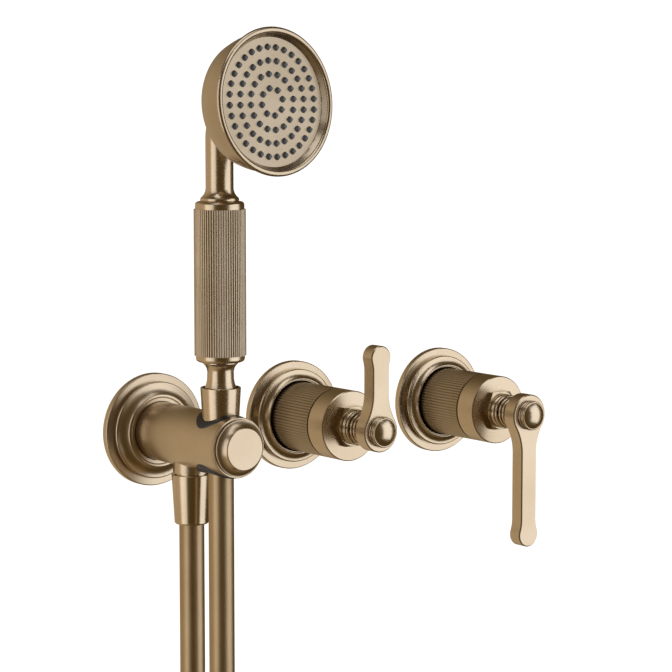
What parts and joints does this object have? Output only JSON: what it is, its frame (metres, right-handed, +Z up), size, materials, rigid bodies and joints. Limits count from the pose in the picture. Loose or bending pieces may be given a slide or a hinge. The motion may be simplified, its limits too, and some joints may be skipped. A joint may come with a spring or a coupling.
{
  "type": "wall mounted bath faucet",
  "caption": "Wall-mounted bath set in brushed brass: outlet arm holding a hand shower on a coiled hose, diverter valve and mixer valve with lever handles.",
  "frame": {"origin": "where the diverter valve's axis meets the finished wall, the plane y = 0", "axes": "-Y points out of the wall into the room, +Y into the wall along the valve inlets, +X to the right when facing the wall, +Z up"},
  "size_m": [0.3632, 0.1564, 0.655],
  "materials": {
    "brushed_brass": "brushed, lacquered",
    "polished_rim": "satin",
    "hose_shield": "brushed",
    "yellow_brass": "machined",
    "stainless": "machined",
    "black_plastic": "matt",
    "grey_silicone": "matt",
    "black_rubber": "matt",
    "white_ceramic": "lapped",
    "white_plastic": "matt"
  },
  "bodies": {
    "root": {"outlet_flange": "brushed_brass", "outlet_wall_gasket": "black_rubber", "arm_body": "brushed_brass", "arm_grub_screw": "stainless", "wall_inlet_nipple": "yellow_brass", "arm_end_cap": "brushed_brass", "holder_liner": "black_plastic", "outlet_nipple": "yellow_brass", "check_valve_housing": "white_plastic", "check_valve_spring": "stainless", "outlet_hose_nut": "brushed_brass", "outlet_hose_washer": "black_rubber", "outlet_hose_insert": "yellow_brass", "hose_fall": "hose_shield", "hose_coil": "hose_shield", "hose_rise": "hose_shield", "hose_tie": "black_plastic", "diverter_flange": "brushed_brass", "diverter_wall_gasket": "black_rubber", "diverter_reeded_sleeve": "brushed_brass", "diverter_front_cap": "brushed_brass", "diverter_gland_nut": "brushed_brass", "diverter_cartridge_body": "yellow_brass", "diverter_seals": "black_rubber", "diverter_fixed_disc": "white_ceramic", "mixer_flange": "brushed_brass", "mixer_wall_gasket": "black_rubber", "mixer_reeded_sleeve": "brushed_brass", "mixer_front_cap": "brushed_brass", "mixer_gland_nut": "brushed_brass", "mixer_cartridge_body": "yellow_brass", "mixer_seals": "black_rubber", "mixer_fixed_disc": "white_ceramic"},
    "hose_end": {"hand_hose_insert": "yellow_brass"},
    "hand_shower": {"hand_hose_nut": "brushed_brass", "hand_hose_washer": "black_rubber", "flow_limiter": "white_plastic", "lower_neck": "brushed_brass", "lower_ferrule": "brushed_brass", "grip_tube": "yellow_brass", "grip_sleeve": "brushed_brass", "upper_ferrule": "brushed_brass", "swan_neck": "brushed_brass", "head_rim": "polished_rim", "head_shell": "brushed_brass", "head_seal": "black_rubber", "spray_plate": "polished_rim", "nozzle_mat": "grey_silicone"},
    "check_poppet": {"check_valve_poppet": "white_plastic"},
    "diverter_handle": {"diverter_turning_disc": "white_ceramic", "diverter_spindle": "brushed_brass", "diverter_lever": "brushed_brass", "diverter_lever_collar": "brushed_brass", "diverter_cap_nut": "polished_rim"},
    "mixer_handle": {"mixer_turning_disc": "white_ceramic", "mixer_spindle": "brushed_brass", "mixer_lever": "brushed_brass", "mixer_lever_collar": "brushed_brass", "mixer_cap_nut": "polished_rim"}
  },
  "joints": [
    {"name": "hand_shower_lift", "type": "slide", "parent": "root", "child": "hose_end", "axis": [0, 0, 1], "range_m": [0, 0.1], "deforming": ["hose_rise"]},
    {"name": "hand_shower_swivel", "type": "hinge", "parent": "hose_end", "child": "hand_shower", "pos_m": [-0.1075, -0.0783, 0], "axis": [0, 0, 1], "continuous": true},
    {"name": "diverter_lever_turn", "type": "hinge", "parent": "root", "child": "diverter_handle", "pos_m": [0, -0.09, 0], "axis": [0, -1, 0], "range_deg": [0, 90]},
    {"name": "mixer_lever_turn", "type": "hinge", "parent": "root", "child": "mixer_handle", "pos_m": [0.1225, -0.09, 0], "axis": [0, -1, 0], "range_deg": [0, 120]},
    {"name": "check_valve_opening", "type": "slide", "parent": "root", "child": "check_poppet", "axis": [0, 0, -1], "range_m": [0, 0.003], "stiffness_N_per_m": 60, "springref_m": -0.002, "deforming": ["check_valve_spring"]}
  ]
}
